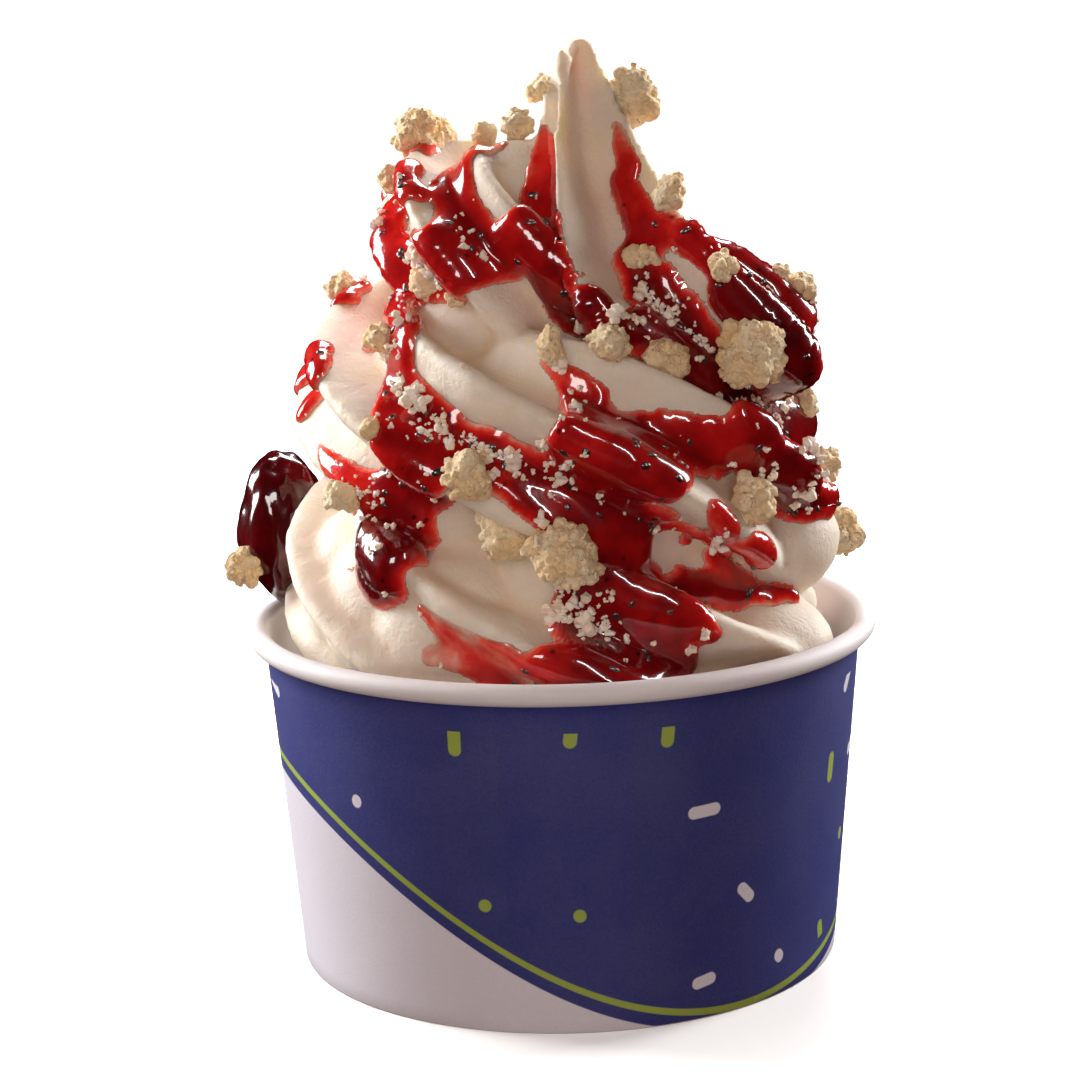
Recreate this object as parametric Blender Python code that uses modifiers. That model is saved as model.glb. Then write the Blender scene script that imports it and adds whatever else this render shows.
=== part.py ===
"""Frozen yogurt cup: a paper tub with a piped swirl, a thick lump of berry sauce and the larger crumble pieces.

Lengths below are in millimetres and become metres in MM. +Z is up and the origin is the middle of the foot.
The front of the cup faces -Y. The tub is two pieces of paper: a tapered wall with a rolled rim and a folded foot, and a
recessed disc whose skirt stands in that fold. The swirl is one rope from a star nozzle: it winds up clockwise, seen from
above, then is drawn up into a peak.
"""

import math

import bmesh
import bpy
from mathutils import Matrix, Vector, noise
from mathutils.bvhtree import BVHTree

for old in list(bpy.data.objects):
    bpy.data.objects.remove(old, do_unlink=True)

MM = 0.001
GAP = 0.3  # left between neighbouring pieces

# Tub
HEIGHT = 50.5
FOOT_RADIUS = 39.7
RIM_RADIUS = 46.0
ROLL = 1.5  # radius of the rolled rim's section
PAPER = 0.6
WALL_TOP = 47.8  # where the outer face meets the roll
WALL_TOP_RADIUS = 43.64
TAPER = (WALL_TOP_RADIUS - FOOT_RADIUS) / WALL_TOP
FOLD = 6.8  # height of the fold inside the foot
BASE_TOP = 8.3
EDGE = 0.15  # softened edge of the foot
ROUND = 64  # segments round the tub

# Rope of yogurt: each line is (turns, value). Turn 0 is at the right, and the front is a quarter turn later.
COIL = (-0.55, 2.95)
COIL_Z = [(-0.55, 24), (-0.25, 34), (0, 43), (0.25, 50), (0.5, 57), (0.75, 62), (1, 67), (1.25, 78), (1.5, 83.5),
          (1.75, 86), (2, 87.5), (2.25, 95), (2.5, 107.5), (2.75, 107), (2.95, 104)]
COIL_ORBIT = [(-0.55, 22), (0, 24.3), (0.5, 25.4), (1, 24.4), (1.25, 24), (1.5, 24), (1.75, 21), (2, 18.5),
              (2.25, 10.5), (2.5, 14.5), (2.75, 9), (2.95, 4)]
COIL_SIZE = [(-0.55, 16.2), (0.5, 16.4), (1, 16.4), (1.5, 16.2), (2, 16), (2.25, 13.5), (2.5, 12.5), (2.95, 10)]
COIL_TURN = [(-0.55, -90), (0.6, -80), (1, -72), (1.5, -72), (2, -75), (2.3, -60), (2.95, -60)]
LEAN = [(0, 0), (60, -0.3), (88, 1.8), (106, 1.2)]  # the whole coil's drift along X with height
COIL_RIDGES = [(60 * k, 14) for k in range(6)]  # (azimuth, width) in degrees
COIL_GROOVE = 0.42  # groove depth as a share of the rope's radius
SAG = 0.97

# Peak: (height, x, y, radius), then its ridges, which spread where it was torn from the nozzle.
PEAK = [(84, 27, -12, 14), (89, 20.5, -16, 14.5), (94, 15.5, -17, 14), (98, 12, -16, 13), (103, 9, -13, 12),
        (112, 6.4, -7.5, 9.6), (123, 4.6, -3, 6.2), (129, 4.2, -1, 4.2), (131.8, 4.7, -0.3, 2.7), (133.5, 5.1, 0, 0.9)]
PEAK_RIDGES = [(-31, 12), (12, 18), (56, 19), (104, 19), (152, 18), (-165, 14), (-126, 9)]
PEAK_GROOVE = 0.78

# Fill: (height, radius) of the yogurt inside the tub and behind the coils.
FILL = [(BASE_TOP + 0.5, 38.4), (34, 40.3), (40, 38), (58, 30), (78, 25), (92, 19), (104, 9), (110, 4)]
# Bulges of the rope where it was pressed together: two beside the peak, the torn tip of its left fin and the hook on it,
# two low on the right, three that round the lowest coil on the left, and one under the left lobe: (centre, half sizes).
BULGES = [((-4.2, -4, 110), (7.8, 6.6, 9.5)), ((2.5, -0.5, 114), (6, 5.5, 9)), ((2.0, -4.4, 129.6), (1.2, 1.3, 2.4)),
          ((2.9, -4.6, 130.2), (1, 0.95, 0.9)), ((28, -14, 46), (11, 10, 10)), ((31, -8, 62), (9, 10, 8.5)),
          ((-14.3, -20.5, 52.6), (13.4, 13.4, 13.4)), ((-20.5, -14.3, 54.3), (13.4, 13.4, 13.4)),
          ((-24.1, -6.5, 55.9), (13.4, 13.4, 13.4)), ((-9.7, -8.7, 93.5), (11, 11, 7.5))]
SWIRL_TRIANGLES = 4900

# Crumble pieces: (azimuth, height, half sizes across, deep and up)
CRUMBS = {
    "crumb_front": (-90, 68, (4.9, 4.4, 4.6)),
    "crumb_front_left": (-103, 70, (4.2, 4.0, 4.9)),
    "crumb_right": (-40, 92.3, (4.9, 4.4, 4.8)),
    "crumb_peak": (-10, 124, (3.2, 3.2, 5.2)),
    "crumb_shoulder": (170, 118.3, (4.4, 3.8, 3.9)),
    "crumb_rim": (-4, 63, (3.2, 3.0, 4.2)),
}
LUMP = (Vector((-40.4, 9.5, 61.5)), (6.9, 9.0, 12.0))  # (centre, half sizes) of the thick sauce


def material(name, color, roughness, coat=0.0):
    made = bpy.data.materials.new(name)
    made.use_nodes = True
    shader = made.node_tree.nodes["Principled BSDF"]
    shader.inputs["Base Color"].default_value = (*color, 1)
    shader.inputs["Roughness"].default_value = roughness
    shader.inputs["Coat Weight"].default_value = coat
    made.diffuse_color = (*color, 1)
    return made


def part(name, mesh_or_bm, finish, smooth=True):
    """One named object of the part, with its material."""
    if isinstance(mesh_or_bm, bmesh.types.BMesh):
        bmesh.ops.recalc_face_normals(mesh_or_bm, faces=mesh_or_bm.faces)
        mesh = bpy.data.meshes.new(name)
        mesh_or_bm.to_mesh(mesh)
        mesh_or_bm.free()
    else:
        mesh = mesh_or_bm
        mesh.name = name
    mesh.materials.clear()
    mesh.materials.append(finish)
    for face in mesh.polygons:
        face.use_smooth = smooth
    made = bpy.data.objects.new(name, mesh)
    pieces.objects.link(made)
    return made


def along(keys, x):
    """A smooth curve through (x, value) keys that never swings past them."""
    x = min(max(x, keys[0][0]), keys[-1][0])
    slope = [(b[1] - a[1]) / (b[0] - a[0]) for a, b in zip(keys, keys[1:])]
    ends = [slope[0]]
    for a, b in zip(slope, slope[1:]):
        ends.append(0 if a * b <= 0 else 2 * a * b / (a + b))
    ends.append(slope[-1])
    for i, (a, b) in enumerate(zip(keys, keys[1:])):
        if x <= b[0]:
            span = b[0] - a[0]
            t = (x - a[0]) / span
            rise = 3 * t * t - 2 * t**3
            return (
                a[1] * (1 - rise) + b[1] * rise
                + span * (ends[i] * (t**3 - 2 * t * t + t) + ends[i + 1] * (t**3 - t * t))
            )


def loft(bm, rings):
    """Quads between rings of points, and a cap on each end ring."""
    for a, b in zip(rings, rings[1:]):
        for i in range(len(a)):
            k = (i + 1) % len(a)
            bm.faces.new((a[i], a[k], b[k], b[i]))
    bm.faces.new(list(reversed(rings[0])))
    bm.faces.new(rings[-1])


def turned(name, profile, looped, finish):
    """A (radius, height) line at +X, down its outer side, turned about Z by a Screw modifier."""
    bm = bmesh.new()
    line = [bm.verts.new((radius * MM, 0, height * MM)) for radius, height in profile]
    for a, b in zip(line, line[1:] + line[:1] if looped else line[1:]):
        bm.edges.new((a, b))
    made = part(name, bm, finish)
    screw = made.modifiers.new("turn", "SCREW")
    screw.steps = screw.render_steps = ROUND
    screw.use_merge_vertices, screw.merge_threshold = True, 1e-5
    screw.use_smooth_shade = True
    return made


def star(angle, ridges, groove):
    """The rope's radius at an angle, as a share of its full radius: rounded ridges with wide hollow grooves between."""
    top = sum(math.exp(-((((angle - azimuth + 180) % 360 - 180) / width) ** 2)) for azimuth, width in ridges)
    return 1 - groove * (1 - min(top, 1))


def rope(bm, centre, size, heading, ridges, groove, start, end, steps, around, sag=1.0):
    """Sweeps the star along a line. The nozzle never turns: the section is only tipped over with the rope."""
    rings = []
    for i in range(steps + 1):
        t = start + (end - start) * i / steps
        step = 0.001 * (end - start)
        along_rope = (centre(min(t + step, end)) - centre(max(t - step, start))).normalized()
        middle, radius, turn = centre(t), size(t), heading(t)
        ring = []
        for j in range(around):
            angle = 2 * math.pi * j / around
            across, deep = math.cos(angle), math.sin(angle)
            drop = -(along_rope.x * across + along_rope.y * deep)
            tip = drop / (1 + along_rope.z)
            out = Vector((across + along_rope.x * tip, deep + along_rope.y * tip, drop * sag))
            reach = radius * star(math.degrees(angle) - turn, ridges, groove)
            ring.append(bm.verts.new((middle + out * reach) * MM))
        rings.append(ring)
    loft(bm, rings)


def coil_centre(turns):
    height, orbit = along(COIL_Z, turns), along(COIL_ORBIT, turns)
    angle = -2 * math.pi * turns
    return Vector((orbit * math.cos(angle) + along(LEAN, height), orbit * math.sin(angle), height))


def peak_centre(height):
    return Vector((along([k[:2] for k in PEAK], height), along([(k[0], k[2]) for k in PEAK], height), height))


def evaluated(source):
    """The object's mesh with its modifiers worked out. The object is removed."""
    bpy.context.view_layer.update()
    mesh = bpy.data.meshes.new_from_object(source.evaluated_get(bpy.context.evaluated_depsgraph_get()))
    bpy.data.objects.remove(source, do_unlink=True)
    return mesh


def keep_largest(mesh):
    """Removes every island but the largest: the closed pockets that stay between coils."""
    bm = bmesh.new()
    bm.from_mesh(mesh)
    seen, islands = set(), []
    for start in bm.verts:
        if start.index in seen:
            continue
        seen.add(start.index)
        island, todo = [], [start]
        while todo:
            vert = todo.pop()
            island.append(vert)
            for edge in vert.link_edges:
                other = edge.other_vert(vert)
                if other.index not in seen:
                    seen.add(other.index)
                    todo.append(other)
        islands.append(island)
    islands.sort(key=len)
    bmesh.ops.delete(bm, geom=[vert for island in islands[:-1] for vert in island], context="VERTS")
    bm.to_mesh(mesh)
    bm.free()


def swirl_mesh():
    """Coil, peak and fill as one closed skin, thinned to the triangles it needs."""
    bm = bmesh.new()
    rope(bm, coil_centre, lambda t: along(COIL_SIZE, t), lambda t: along(COIL_TURN, t), COIL_RIDGES, COIL_GROOVE,
         *COIL, 360, 84, SAG)
    rope(bm, peak_centre, lambda z: along([(k[0], k[3]) for k in PEAK], z), lambda z: 0, PEAK_RIDGES, PEAK_GROOVE,
         PEAK[0][0], PEAK[-1][0], 160, 84)
    heights = [FILL[0][0] + (FILL[-1][0] - FILL[0][0]) * i / 30 for i in range(31)]
    profile = [(0, heights[0])] + [(along(FILL, height), height) for height in heights] + [(0, heights[-1])]
    line = [bm.verts.new((radius * MM, 0, height * MM)) for radius, height in profile]
    edges = [bm.edges.new(pair) for pair in zip(line, line[1:])]
    bmesh.ops.spin(bm, geom=line + edges, axis=(0, 0, 1), angle=2 * math.pi, steps=60, use_merge=True)
    bmesh.ops.remove_doubles(bm, verts=bm.verts, dist=1e-7)
    for centre, half in BULGES:
        place = Matrix.LocRotScale(Vector(centre) * MM, None, Vector(half) * MM)
        bmesh.ops.create_icosphere(bm, subdivisions=4, radius=1, matrix=place)
    bmesh.ops.recalc_face_normals(bm, faces=bm.faces)
    mesh = bpy.data.meshes.new("swirl")
    bm.to_mesh(mesh)
    bm.free()
    source = bpy.data.objects.new("swirl", mesh)
    pieces.objects.link(source)
    skin = source.modifiers.new("skin", "REMESH")
    skin.mode, skin.voxel_size = "VOXEL", 0.8 * MM
    soft = source.modifiers.new("soft", "SMOOTH")
    soft.factor, soft.iterations = 0.5, 4
    mesh = evaluated(source)
    keep_largest(mesh)
    source = bpy.data.objects.new("swirl", mesh)
    pieces.objects.link(source)
    thin = source.modifiers.new("thin", "DECIMATE")
    thin.ratio = SWIRL_TRIANGLES / (2 * len(mesh.polygons))
    return evaluated(source)


def on_swirl(azimuth, height, tree):
    """The point of the swirl's surface at this azimuth and height, and the way it faces."""
    out = Vector((math.cos(math.radians(azimuth)), math.sin(math.radians(azimuth)), 0))
    point, normal, _, _ = tree.ray_cast(out * 0.1 + Vector((0, 0, height * MM)), -out)
    return point, normal


def lump(name, middle, facing, half, cutter, finish, rough, seed):
    """A rounded irregular piece that sits on the swirl, cut to the swirl's shape with a small gap."""
    bm = bmesh.new()
    bmesh.ops.create_icosphere(bm, subdivisions=3, radius=1)
    turn = Vector((0, -1, 0)).rotation_difference(Vector((facing.x, facing.y, 0)).normalized())
    for vert in bm.verts:
        bump = noise.noise(vert.co * 1.7 + Vector((seed, 0, 0))) + 0.5 * noise.noise(vert.co * 3.9 + Vector((0, seed, 0)))
        size = Vector([a * b for a, b in zip(vert.co * (1 + rough * bump), half)])
        vert.co = (middle + turn @ size) * MM
    made = part(name, bm, finish)
    thin = made.modifiers.new("thin", "DECIMATE")
    thin.ratio = 0.5
    cut = made.modifiers.new("seat", "BOOLEAN")
    cut.operation, cut.object, cut.solver, cut.use_self = "DIFFERENCE", cutter, "EXACT", True
    return made


pieces = bpy.data.collections.new("frozen_yogurt_cup")
helpers = bpy.data.collections.new("helpers")
for group in (pieces, helpers):
    bpy.context.scene.collection.children.link(group)

printed = material("printed_paper", (0.035, 0.035, 0.13), 0.45)
white = material("white_paper", (0.80, 0.78, 0.80), 0.6)
yogurt = material("frozen_yogurt", (0.86, 0.80, 0.68), 0.55)
sauce = material("berry_sauce", (0.20, 0.005, 0.008), 0.12, 1.0)
crumble = material("crumble", (0.80, 0.62, 0.38), 0.85)


def wall(offset, height):
    """Radius of a face of the wall, counted inwards from its outer face."""
    return FOOT_RADIUS + TAPER * height - offset


slot_outer, slot_inner, fold_inner = PAPER, 2 * PAPER + 2 * GAP, 3 * PAPER + 2 * GAP
wall_profile = (
    [(RIM_RADIUS - ROLL + ROLL * math.cos(a), HEIGHT - ROLL + ROLL * math.sin(a))
     for a in map(math.radians, (180, 134, 92, 52, 12, -30, -75, -126))]
    + [(wall(0, 24), 24), (wall(0, EDGE), EDGE), (wall(EDGE, 0), 0)]
    + [(wall(fold_inner - EDGE, 0), 0), (wall(fold_inner, EDGE), EDGE)]
    + [(wall(fold_inner, FOLD), FOLD), (wall(slot_inner, FOLD), FOLD)]
    + [(wall(slot_inner, PAPER), PAPER), (wall(slot_outer, PAPER), PAPER), (wall(slot_outer, 44), 44)]
)
turned("cup_wall", wall_profile, True, printed)

skirt_outer, skirt_inner = PAPER + GAP, 2 * PAPER + GAP
base_profile = [
    (0, BASE_TOP),
    (wall(skirt_outer, BASE_TOP), BASE_TOP),
    (wall(skirt_outer, skirt_outer), skirt_outer),
    (wall(skirt_inner, skirt_outer), skirt_outer),
    (wall(skirt_inner, BASE_TOP - PAPER), BASE_TOP - PAPER),
    (0, BASE_TOP - PAPER),
]
turned("cup_base", base_profile, False, white)

swirl = part("frozen_yogurt", swirl_mesh(), yogurt)
tree = BVHTree.FromObject(swirl, bpy.context.evaluated_depsgraph_get())

cutter = bpy.data.objects.new("seat_cutter", swirl.data.copy())
helpers.objects.link(cutter)
cutter.hide_render = True
cutter.display_type = "WIRE"
grow = cutter.modifiers.new("grow", "DISPLACE")
grow.strength, grow.mid_level = GAP * MM, 0

for seed, (name, (azimuth, height, half)) in enumerate(CRUMBS.items()):
    point, normal = on_swirl(azimuth, height, tree)
    lump(name, point / MM + normal * half[1] * 0.75, normal, half, cutter, crumble, 0.22, 3.1 * seed)
lump("sauce_lump", LUMP[0], Vector((0, -1, 0)), LUMP[1], cutter, sauce, 0.08, 40)
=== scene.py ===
# %% [markdown]
# # A cup of frozen yogurt
# Soft yogurt leaves a star-shaped nozzle as a thick rope. It is wound up in a paper tub, pulled away into a
# peak, covered with berry sauce and scattered with crumble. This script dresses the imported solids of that
# cup: it loads them as a fixed frame, models each piece finely in the same place, and gives it a finish.
# Lengths are typed in millimetres and multiplied by MM, because Blender's own unit here is the metre.

# %% Load the frame
import math

import bmesh
import bpy
import numpy as np
from mathutils import Matrix, Vector, noise
from mathutils.bvhtree import BVHTree


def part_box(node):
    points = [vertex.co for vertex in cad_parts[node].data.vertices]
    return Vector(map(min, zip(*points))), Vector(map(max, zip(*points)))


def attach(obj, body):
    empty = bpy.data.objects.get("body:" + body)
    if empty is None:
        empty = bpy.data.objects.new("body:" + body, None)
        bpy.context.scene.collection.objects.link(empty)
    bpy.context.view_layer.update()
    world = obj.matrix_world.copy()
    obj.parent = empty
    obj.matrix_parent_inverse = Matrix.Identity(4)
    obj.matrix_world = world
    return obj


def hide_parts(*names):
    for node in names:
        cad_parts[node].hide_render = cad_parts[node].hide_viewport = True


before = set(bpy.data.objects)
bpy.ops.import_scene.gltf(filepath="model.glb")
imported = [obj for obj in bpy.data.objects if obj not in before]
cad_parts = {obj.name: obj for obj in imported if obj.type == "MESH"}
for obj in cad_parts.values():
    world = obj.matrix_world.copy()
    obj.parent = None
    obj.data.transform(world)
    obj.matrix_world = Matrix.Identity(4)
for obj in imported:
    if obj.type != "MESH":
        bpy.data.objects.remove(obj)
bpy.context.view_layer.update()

MM = 0.001
print("nodes:", ", ".join(sorted(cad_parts)))


# %% [markdown]
# Most pieces here start as a bmesh, Blender's editable mesh. Small helpers keep the cells short: one turns
# a finished bmesh into an object, one works out an object's modifiers and leaves a plain mesh, and one spins a
# line round the axis.

# %% Helpers for objects
def new_object(name, bm, smooth=True):
    """A scene object from a bmesh, which is used up."""
    mesh = bpy.data.meshes.new(name)
    bm.to_mesh(mesh)
    bm.free()
    mesh.polygons.foreach_set("use_smooth", [smooth] * len(mesh.polygons))
    made = bpy.data.objects.new(name, mesh)
    bpy.context.scene.collection.objects.link(made)
    return made


def settle(made):
    """Works out an object's modifiers and keeps the result as its mesh."""
    bpy.context.view_layer.update()
    mesh = bpy.data.meshes.new_from_object(made.evaluated_get(bpy.context.evaluated_depsgraph_get()))
    old, made.data = made.data, mesh
    mesh.name = made.name
    made.modifiers.clear()
    bpy.data.meshes.remove(old)


def positions(mesh):
    """The mesh's points as an array of rows, in millimetres."""
    flat = np.empty(len(mesh.vertices) * 3)
    mesh.vertices.foreach_get("co", flat)
    return flat.reshape(-1, 3) / MM


def triangles(made):
    return sum(len(face.vertices) - 2 for face in made.data.polygons)


def spin_line(bm, profile, steps, looped=False, unit=MM, merge=1e-6):
    """Adds a (radius, height) line that is spun once round Z."""
    line = [bm.verts.new((radius * unit, 0, height * unit)) for radius, height in profile]
    edges = [bm.edges.new(pair) for pair in zip(line, line[1:] + line[:1] if looped else line[1:])]
    bmesh.ops.spin(bm, geom=line + edges, axis=(0, 0, 1), angle=2 * math.pi, steps=steps, use_merge=True)
    bmesh.ops.remove_doubles(bm, verts=bm.verts, dist=merge)


# %% [markdown]
# ## Camera and light
# The camera stands about 38 cm from the cup and looks a little down on it, with a long lens that keeps the
# tub's sides nearly straight. Its aim is built from three angles, so each can be changed alone.
# Two soft boxes stand beside the cup and a third behind it, so its edges are bright and its front is dim: that
# side light models every ridge of the yogurt. Two weak boxes in front fill the shadows, one of them low, as a
# white table would. A window and a strip are seen by gloss alone: they draw the crisp marks on the wet sauce.

# %% Camera
CAMERA_PLACE = Vector((0, -383, 138.3)) * MM
TILT, PAN, ROLL = 0.1994, -0.0076, -0.0273

camera = bpy.data.objects.new("camera", bpy.data.cameras.new("camera"))
bpy.context.scene.collection.objects.link(camera)
camera.data.sensor_width = 36
camera.data.lens = 88.85
camera.data.clip_start = 0.01
camera.matrix_world = (
    Matrix.Translation(CAMERA_PLACE)
    @ Matrix.Rotation(-PAN, 4, "Z")
    @ Matrix.Rotation(math.pi / 2 - TILT, 4, "X")
    @ Matrix.Rotation(ROLL, 4, "Z")
)
bpy.context.scene.camera = camera
print("camera is", round(CAMERA_PLACE.length / MM), "mm from the foot's middle")


# %% Soft boxes
def soft_box(name, place, width, height, watts, aim=(0, 0, 80), color=(1, 1, 1),
             lights=("diffuse", "glossy")):
    lamp = bpy.data.lights.new(name, "AREA")
    lamp.shape, lamp.size, lamp.size_y = "RECTANGLE", width * MM, height * MM
    lamp.energy, lamp.color = watts, color
    made = bpy.data.objects.new(name, lamp)
    bpy.context.scene.collection.objects.link(made)
    made.location = Vector(place) * MM
    made.rotation_euler = (Vector(aim) - Vector(place)).to_track_quat("-Z", "Y").to_euler()
    made.visible_diffuse, made.visible_glossy = "diffuse" in lights, "glossy" in lights


soft_box("left", (-430, 175, 250), 200, 340, 4.1)
soft_box("right", (430, 225, 250), 180, 320, 3.2)
soft_box("back", (40, 330, 430), 260, 180, 2.4)
soft_box("front", (-150, -480, 300), 200, 200, 0.36, color=(1, 0.84, 0.70), lights=["diffuse"])
soft_box("table", (0, -300, 45), 320, 60, 0.18, aim=(0, 0, 10), color=(1, 0.97, 0.97), lights=["diffuse"])
soft_box("window", (-190, -450, 350), 190, 150, 1.3, color=(1, 0.95, 0.93), lights=["glossy"])
soft_box("strip", (250, -330, 400), 26, 300, 1.1, color=(1, 0.95, 0.93), lights=["glossy"])
print("lamps:", len(bpy.data.lights))

# %% [markdown]
# The room is a bowl, so the cup stands on white from whichever side it is seen. The bowl glows by itself, less
# and less towards the foot, where the lamps have to do the work: that dimmer glow is a painted shadow, and with
# the lamps' own shadow it leaves a soft shadow under the tub and nothing further out. The bowl is hidden from
# diffuse and glossy rays, or its glow would bleach the sauce.

# %% Room
world = bpy.data.worlds.new("studio")
world.use_nodes = True
world.node_tree.nodes["Background"].inputs["Color"].default_value = (1, 0.62, 0.46, 1)
world.node_tree.nodes["Background"].inputs["Strength"].default_value = 0.16
world.cycles_visibility.glossy = False
bpy.context.scene.world = world
bpy.context.scene.view_settings.view_transform = "Standard"

FLOOR_LINE = [(0, 0), (0.1, 0), (0.3, 0), (0.8, 0), (1.6, 0), (2.2, 0.12), (2.6, 0.5), (2.8, 1.2), (2.9, 3.2)]
bm = bmesh.new()
spin_line(bm, FLOOR_LINE, 64, unit=1)
bmesh.ops.recalc_face_normals(bm, faces=bm.faces)
floor = new_object("floor", bm)
floor.visible_diffuse = floor.visible_glossy = floor.visible_transmission = False


# %% [markdown]
# ## Shader maths as Python
# A material's pattern is arithmetic on coordinates. The class below wraps one output of the node tree, so that
# `a * 2 + b` adds the Math nodes by itself. Any other node comes from `node`, which sets the node's settings
# first and then its sockets.

# %% A wire of the node tree
class Wire:
    """One output socket. Arithmetic on it adds Math nodes to its tree."""

    def __init__(self, tree, socket=None):
        self.tree, self.socket = tree, socket

    def node(self, kind, inputs=None, output=0, stops=None, **settings):
        made = self.tree.nodes.new(kind)
        for name, value in settings.items():
            setattr(made, name, value)
        if stops:
            ramp = made.color_ramp.elements
            while len(ramp) < len(stops):
                ramp.new(0.5)
            for element, (place, color) in zip(ramp, stops):
                element.position, element.color = place, (*color, 1)
        for name, value in (inputs or {}).items():
            if isinstance(value, Wire):
                self.tree.links.new(value.socket, made.inputs[name])
            else:
                made.inputs[name].default_value = value
        return Wire(self.tree, made.outputs[output])

    def math(self, operation, *values):
        return self.node("ShaderNodeMath", dict(enumerate(values)), operation=operation)

    def __add__(self, other):
        return self.math("ADD", self, other)

    def __sub__(self, other):
        return self.math("SUBTRACT", self, other)

    def __rsub__(self, other):
        return self.math("SUBTRACT", other, self)

    def __mul__(self, other):
        return self.math("MULTIPLY", self, other)

    def __truediv__(self, other):
        return self.math("DIVIDE", self, other)

    def __neg__(self):
        return self.math("MULTIPLY", self, -1)

    __radd__, __rmul__ = __add__, __mul__

    def step(self, low, high):
        """0 below low, 1 above high, and smooth between."""
        inputs = {"Value": self, "From Min": low, "From Max": high}
        return self.node("ShaderNodeMapRange", inputs, interpolation_type="SMOOTHSTEP")

    def blend(self, first, second):
        """The colour first where this is 0, and second where it is 1."""
        made = self.tree.nodes.new("ShaderNodeMix")
        made.data_type = "RGBA"
        self.tree.links.new(self.socket, made.inputs["Factor"])
        for socket, value in ((made.inputs[6], first), (made.inputs[7], second)):
            if isinstance(value, Wire):
                self.tree.links.new(value.socket, socket)
            else:
                socket.default_value = (*value, 1)
        return Wire(self.tree, made.outputs[2])

    def texture(self, scale, detail, **settings):
        """Fractal noise from 0 to 1 at this place."""
        return self.node("ShaderNodeTexNoise", {"Vector": self, "Scale": scale, "Detail": detail, **settings})


def new_finish(name, **constants):
    """A material, its Principled shader and the object's coordinates. Constants are set on the shader."""
    material = bpy.data.materials.new(name)
    material.use_nodes = True
    shader = material.node_tree.nodes["Principled BSDF"]
    for socket, value in constants.items():
        shader.inputs[socket.replace("_", " ")].default_value = value
    return material, shader, Wire(material.node_tree).node("ShaderNodeTexCoord", output="Object")


def feed(shader, socket, wire):
    wire.tree.links.new(wire.socket, shader.inputs[socket])


def bump(shader, height, distance):
    """Feeds the shader's normal with a relief of that many metres."""
    feed(shader, "Normal", height.node("ShaderNodeBump", {"Height": height, "Distance": distance}))


# %% Studio paper
studio, shader, place = new_finish("studio_paper", Roughness=0.9)
shader.inputs["Base Color"].default_value = (0.85, 0.85, 0.85, 1)
shader.inputs["Specular IOR Level"].default_value = 0
shader.inputs["Emission Strength"].default_value = 1.0
from_middle = place.node("ShaderNodeVectorMath", {0: place}, output="Value", operation="LENGTH")
# Painted shadow: the floor's glow dims from far out towards the foot, which darkens a ring round the tub.
feed(shader, "Emission Color", from_middle.step(0.038, 0.105).blend((0.30, 0.29, 0.29), (1.02, 1.02, 1.02)))
floor.data.materials.append(studio)


# %% [markdown]
# ## The tub
# A paper tub is a cone of card with its top edge curled outwards into a bead, and a disc of card set a little
# up inside the foot. Both are turned shapes: half of the section is drawn once and spun round the axis.
# A modifier could do the turning, but the spin operator leaves a plain mesh whose seam is already closed.
# The sizes are read from the frame, so the piece is exactly where the solid is.

# %% Tub sizes
foot_low, rim_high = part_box("cup_wall")
RIM_RADIUS = rim_high.x / MM
HEIGHT = rim_high.z / MM
BEAD = 1.5
PAPER = 0.6
FOOT_RADIUS = 39.7
BASE_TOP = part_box("cup_base")[1].z / MM
AROUND = 192
BEAD_MIDDLE = (RIM_RADIUS - BEAD, HEIGHT - BEAD)
TAPER = (BEAD_MIDDLE[0] - 0.86 - FOOT_RADIUS) / (HEIGHT - 2.7)
print(f"tub {HEIGHT:.1f} mm high, {2 * RIM_RADIUS:.1f} mm across its rim, base disc at {BASE_TOP:.1f} mm")


def wall_radius(height, inset=0.0):
    return FOOT_RADIUS + TAPER * height - inset


def arc(middle, radius, start, end, count):
    """Points of an arc in degrees, as (radius, height) pairs."""
    angles = np.radians(np.linspace(start, end, count))
    return [(middle[0] + radius * math.cos(a), middle[1] + radius * math.sin(a)) for a in angles]


def spun(name, profile, looped):
    """A (radius, height) line spun round Z into a closed skin."""
    bm = bmesh.new()
    spin_line(bm, profile, AROUND, looped)
    bmesh.ops.recalc_face_normals(bm, faces=bm.faces)
    return new_object(name, bm)


# %% Tub wall with its curled rim and folded foot
fold = 3 * PAPER + 0.6
wall_profile = (
    arc(BEAD_MIDDLE, BEAD, 180, -115, 22)
    + [(BEAD_MIDDLE[0] - 0.80, HEIGHT - 2.95), (wall_radius(HEIGHT - 3.3), HEIGHT - 3.3)]
    + [(wall_radius(z), z) for z in np.linspace(HEIGHT - 6, 0.3, 22)]
    + [(wall_radius(0, 0.1), 0.05), (wall_radius(0, 0.3), 0), (wall_radius(0, fold - 0.3), 0)]
    + [(wall_radius(0, fold - 0.1), 0.05), (wall_radius(0.3, fold), 0.3)]
    + [(wall_radius(6.6, fold), 6.6), (wall_radius(6.8, fold - 0.2), 6.8), (wall_radius(6.8, fold - 0.4), 6.8)]
    + [(wall_radius(6.6, fold - 0.6), 6.6), (wall_radius(PAPER, fold - 0.6), PAPER)]
    + [(wall_radius(PAPER, PAPER), PAPER)]
    + [(wall_radius(z, PAPER), z) for z in np.linspace(4, HEIGHT - 5, 12)]
)
tub_wall = spun("tub_wall", wall_profile, True)

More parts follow.
